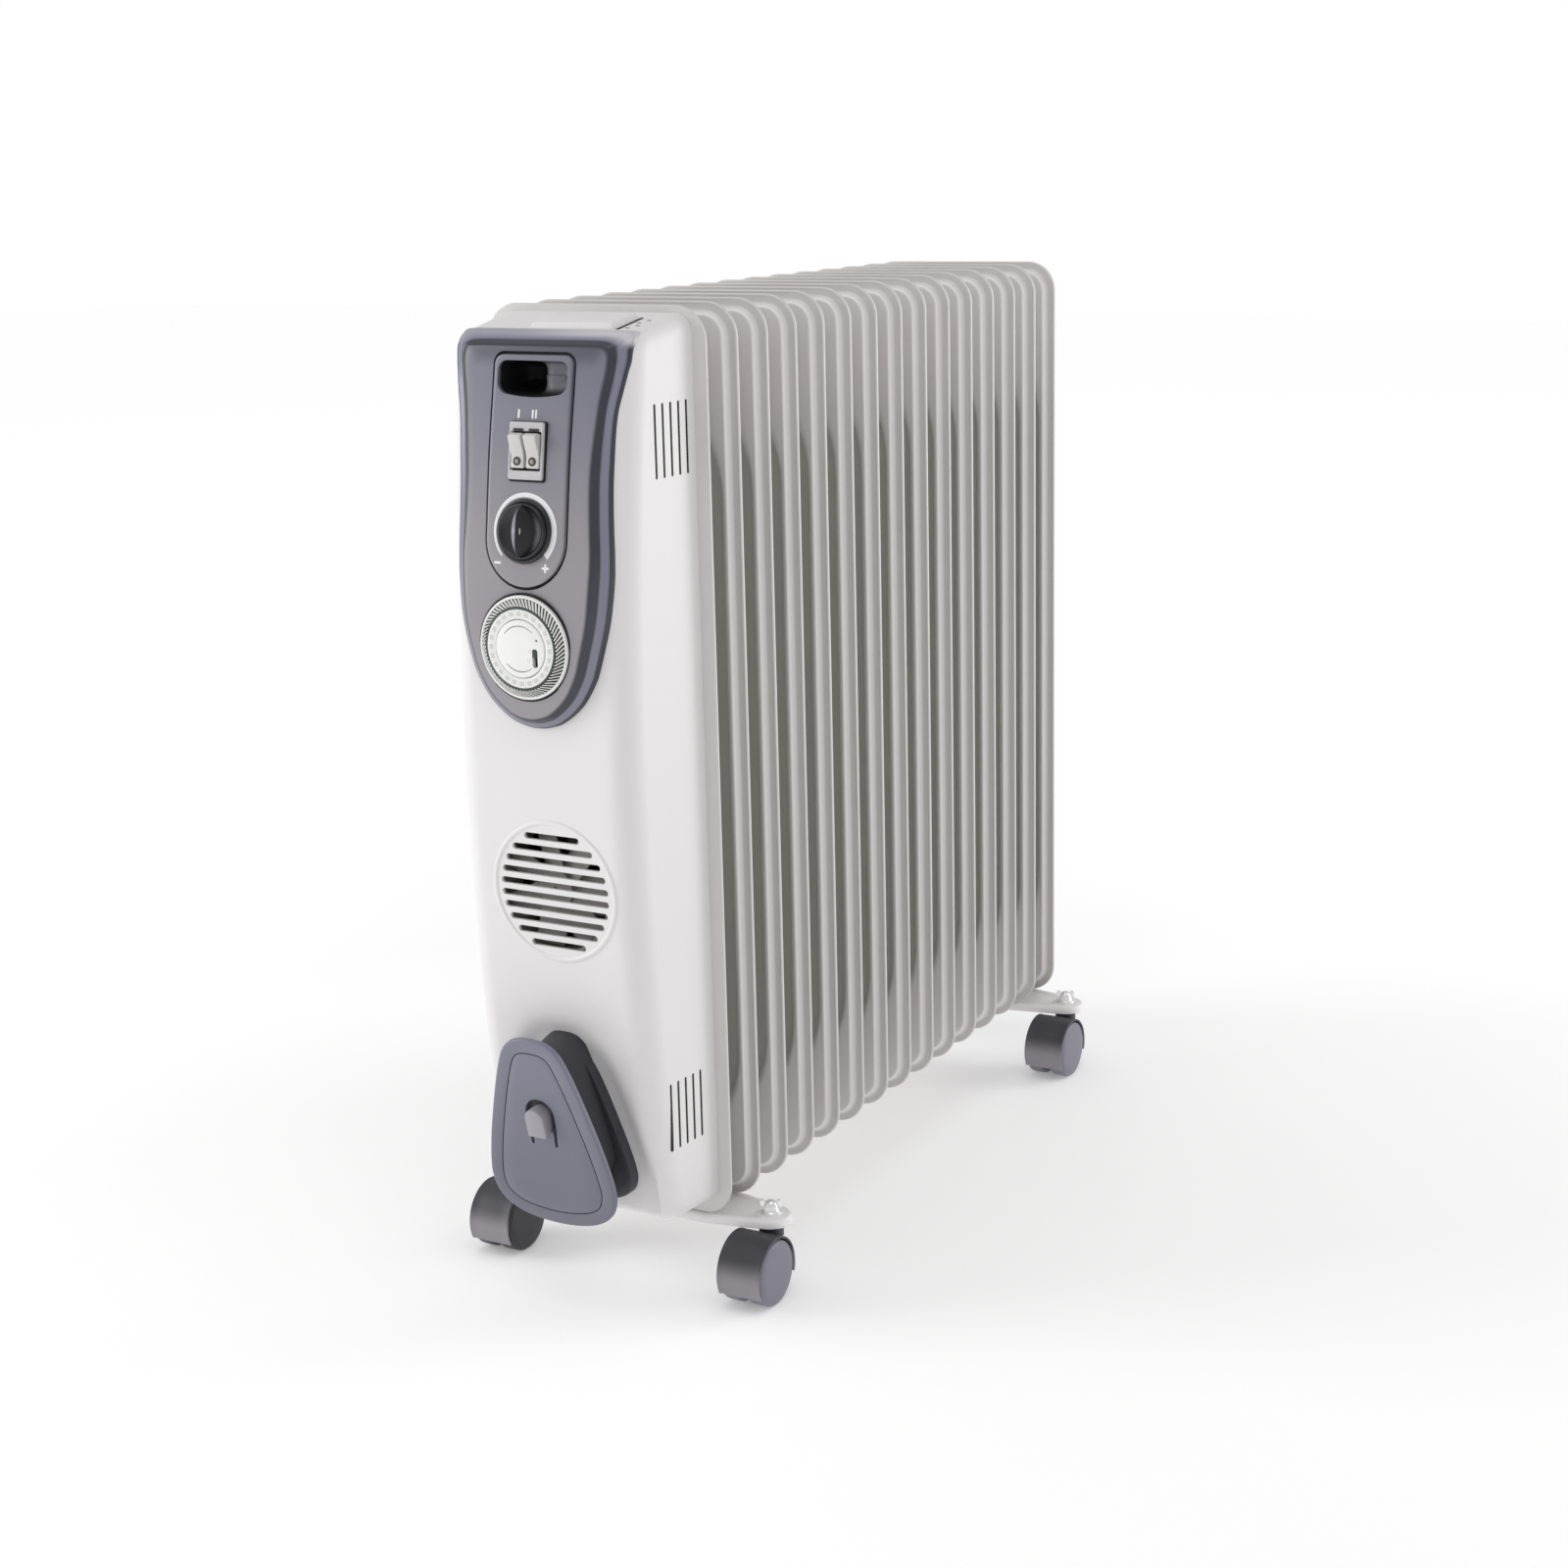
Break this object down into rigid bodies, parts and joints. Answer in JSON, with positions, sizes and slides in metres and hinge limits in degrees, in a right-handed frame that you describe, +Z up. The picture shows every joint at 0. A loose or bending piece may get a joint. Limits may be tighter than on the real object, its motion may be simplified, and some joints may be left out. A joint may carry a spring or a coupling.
{
  "type": "oil filled radiator heater",
  "caption": "Free standing oil filled radiator heater on twin wheel castors, with a control housing, timer dial, fan grille and cord wrap at one end.",
  "frame": {"origin": "on the floor, under the middle of the bounding box", "axes": "+X to the right of someone facing the controls, -Y towards them, +Z up"},
  "size_m": [0.24, 0.66, 0.67],
  "materials": {
    "housing_white": "glossy pearl white moulding",
    "fin_paint": "satin warm light grey powder coat",
    "fascia_grey": "satin blue grey moulding",
    "cup_dark": "dark grey moulding",
    "switch_grey": "light grey moulding",
    "rocker_grey": "pale grey moulding",
    "lens_amber": "small neon lens",
    "knob_dark": "gloss blue black",
    "dial_white": "white",
    "slider_dark": "dark grey",
    "inner_black": "black",
    "fan_plastic": "dark grey",
    "inner_white": "natural white",
    "bright_steel": "zinc plated",
    "nut_chrome": "bright plated",
    "foot_paint": "satin light grey powder coat",
    "castor_grey": "dark grey moulding",
    "wheel_grey": "grey disc with black tread",
    "element_metal": "bare",
    "ptc_metal": "bare",
    "rubber_black": "matt"
  },
  "bodies": {
    "heater": {"front_fin": "fin_paint", "middle_fins": "fin_paint", "rear_fin": "fin_paint", "upper_header_collars": "fin_paint", "lower_header_collars": "fin_paint", "heating_element": "element_metal", "oil_filler_plug": "bright_steel", "control_housing": "housing_white", "top_vent_cover": "housing_white", "fascia": "fascia_grey", "control_insert": "fascia_grey", "grip_cup": "cup_dark", "switch_bezel": "switch_grey", "switch_body": "inner_black", "thermostat_body": "inner_white", "timer_face": "dial_white", "timer_movement": "inner_white", "fan_shroud": "fan_plastic", "fan_motor": "bright_steel", "ptc_heater": "ptc_metal", "cord_wrap_base": "fascia_grey", "cord_wrap_plate": "fascia_grey", "cord_clip": "switch_grey", "terminal_block": "inner_white", "thermal_cutout": "ptc_metal", "tip_over_switch": "inner_black", "cord_gland": "rubber_black", "housing_screws": "bright_steel", "front_foot_bracket": "foot_paint", "rear_foot_bracket": "foot_paint", "u_bolts": "bright_steel", "u_bolt_nuts": "bright_steel", "castor_wing_nuts": "nut_chrome", "castor_stems": "bright_steel"},
    "rocker_1": {"rocker_1": "rocker_grey", "rocker_lens_1": "lens_amber"},
    "rocker_2": {"rocker_2": "rocker_grey", "rocker_lens_2": "lens_amber"},
    "knob": {"thermostat_knob": "knob_dark", "thermostat_shaft": "bright_steel"},
    "dial": {"timer_dial": "dial_white", "timer_tooth_ring": "dial_white"},
    "slider": {"timer_slider": "slider_dark"},
    "fan": {"fan_impeller": "fan_plastic"},
    "castor_front_left": {"castor_hood_front_left": "castor_grey", "castor_axle_front_left": "bright_steel"},
    "wheel_front_left_inner": {"wheel_front_left_inner": "wheel_grey"},
    "wheel_front_left_outer": {"wheel_front_left_outer": "wheel_grey"},
    "castor_front_right": {"castor_hood_front_right": "castor_grey", "castor_axle_front_right": "bright_steel"},
    "wheel_front_right_inner": {"wheel_front_right_inner": "wheel_grey"},
    "wheel_front_right_outer": {"wheel_front_right_outer": "wheel_grey"},
    "castor_rear_left": {"castor_hood_rear_left": "castor_grey", "castor_axle_rear_left": "bright_steel"},
    "wheel_rear_left_inner": {"wheel_rear_left_inner": "wheel_grey"},
    "wheel_rear_left_outer": {"wheel_rear_left_outer": "wheel_grey"},
    "castor_rear_right": {"castor_hood_rear_right": "castor_grey", "castor_axle_rear_right": "bright_steel"},
    "wheel_rear_right_inner": {"wheel_rear_right_inner": "wheel_grey"},
    "wheel_rear_right_outer": {"wheel_rear_right_outer": "wheel_grey"}
  },
  "joints": [
    {"name": "rocker_1_tilt", "type": "hinge", "parent": "heater", "child": "rocker_1", "pos_m": [-0.0059, -0.2973, 0.5845], "axis": [1, 0, 0], "range_deg": [-14, 0]},
    {"name": "rocker_2_tilt", "type": "hinge", "parent": "heater", "child": "rocker_2", "pos_m": [0.0059, -0.2973, 0.5845], "axis": [1, 0, 0], "range_deg": [-14, 0]},
    {"name": "thermostat_turn", "type": "hinge", "parent": "heater", "child": "knob", "pos_m": [0, -0.3056, 0.535], "axis": [0, 0.9894, -0.1454], "range_deg": [-135, 135]},
    {"name": "timer_turn", "type": "hinge", "parent": "heater", "child": "dial", "pos_m": [0, -0.3115, 0.462], "axis": [0, 1, 0], "continuous": true},
    {"name": "timer_mode_slide", "type": "slide", "parent": "heater", "child": "slider", "axis": [0, 0, 1], "range_m": [-0.006, 0]},
    {"name": "fan_spin", "type": "hinge", "parent": "heater", "child": "fan", "pos_m": [0, -0.2896, 0.298], "axis": [0, 1, 0], "continuous": true},
    {"name": "castor_front_left_swivel", "type": "hinge", "parent": "heater", "child": "castor_front_left", "pos_m": [-0.103, -0.1984, 0.044], "axis": [0, 0, 1], "continuous": true},
    {"name": "wheel_front_left_inner_spin", "type": "hinge", "parent": "castor_front_left", "child": "wheel_front_left_inner", "pos_m": [-0.103, -0.2204, 0.023], "axis": [1, 0, 0], "continuous": true},
    {"name": "wheel_front_left_outer_spin", "type": "hinge", "parent": "castor_front_left", "child": "wheel_front_left_outer", "pos_m": [-0.103, -0.2204, 0.023], "axis": [1, 0, 0], "continuous": true},
    {"name": "castor_front_right_swivel", "type": "hinge", "parent": "heater", "child": "castor_front_right", "pos_m": [0.103, -0.1984, 0.044], "axis": [0, 0, 1], "continuous": true},
    {"name": "wheel_front_right_inner_spin", "type": "hinge", "parent": "castor_front_right", "child": "wheel_front_right_inner", "pos_m": [0.103, -0.2204, 0.023], "axis": [1, 0, 0], "continuous": true},
    {"name": "wheel_front_right_outer_spin", "type": "hinge", "parent": "castor_front_right", "child": "wheel_front_right_outer", "pos_m": [0.103, -0.2204, 0.023], "axis": [1, 0, 0], "continuous": true},
    {"name": "castor_rear_left_swivel", "type": "hinge", "parent": "heater", "child": "castor_rear_left", "pos_m": [-0.103, 0.3008, 0.044], "axis": [0, 0, 1], "continuous": true},
    {"name": "wheel_rear_left_inner_spin", "type": "hinge", "parent": "castor_rear_left", "child": "wheel_rear_left_inner", "pos_m": [-0.103, 0.2788, 0.023], "axis": [1, 0, 0], "continuous": true},
    {"name": "wheel_rear_left_outer_spin", "type": "hinge", "parent": "castor_rear_left", "child": "wheel_rear_left_outer", "pos_m": [-0.103, 0.2788, 0.023], "axis": [1, 0, 0], "continuous": true},
    {"name": "castor_rear_right_swivel", "type": "hinge", "parent": "heater", "child": "castor_rear_right", "pos_m": [0.103, 0.3008, 0.044], "axis": [0, 0, 1], "continuous": true},
    {"name": "wheel_rear_right_inner_spin", "type": "hinge", "parent": "castor_rear_right", "child": "wheel_rear_right_inner", "pos_m": [0.103, 0.2788, 0.023], "axis": [1, 0, 0], "continuous": true},
    {"name": "wheel_rear_right_outer_spin", "type": "hinge", "parent": "castor_rear_right", "child": "wheel_rear_right_outer", "pos_m": [0.103, 0.2788, 0.023], "axis": [1, 0, 0], "continuous": true}
  ]
}
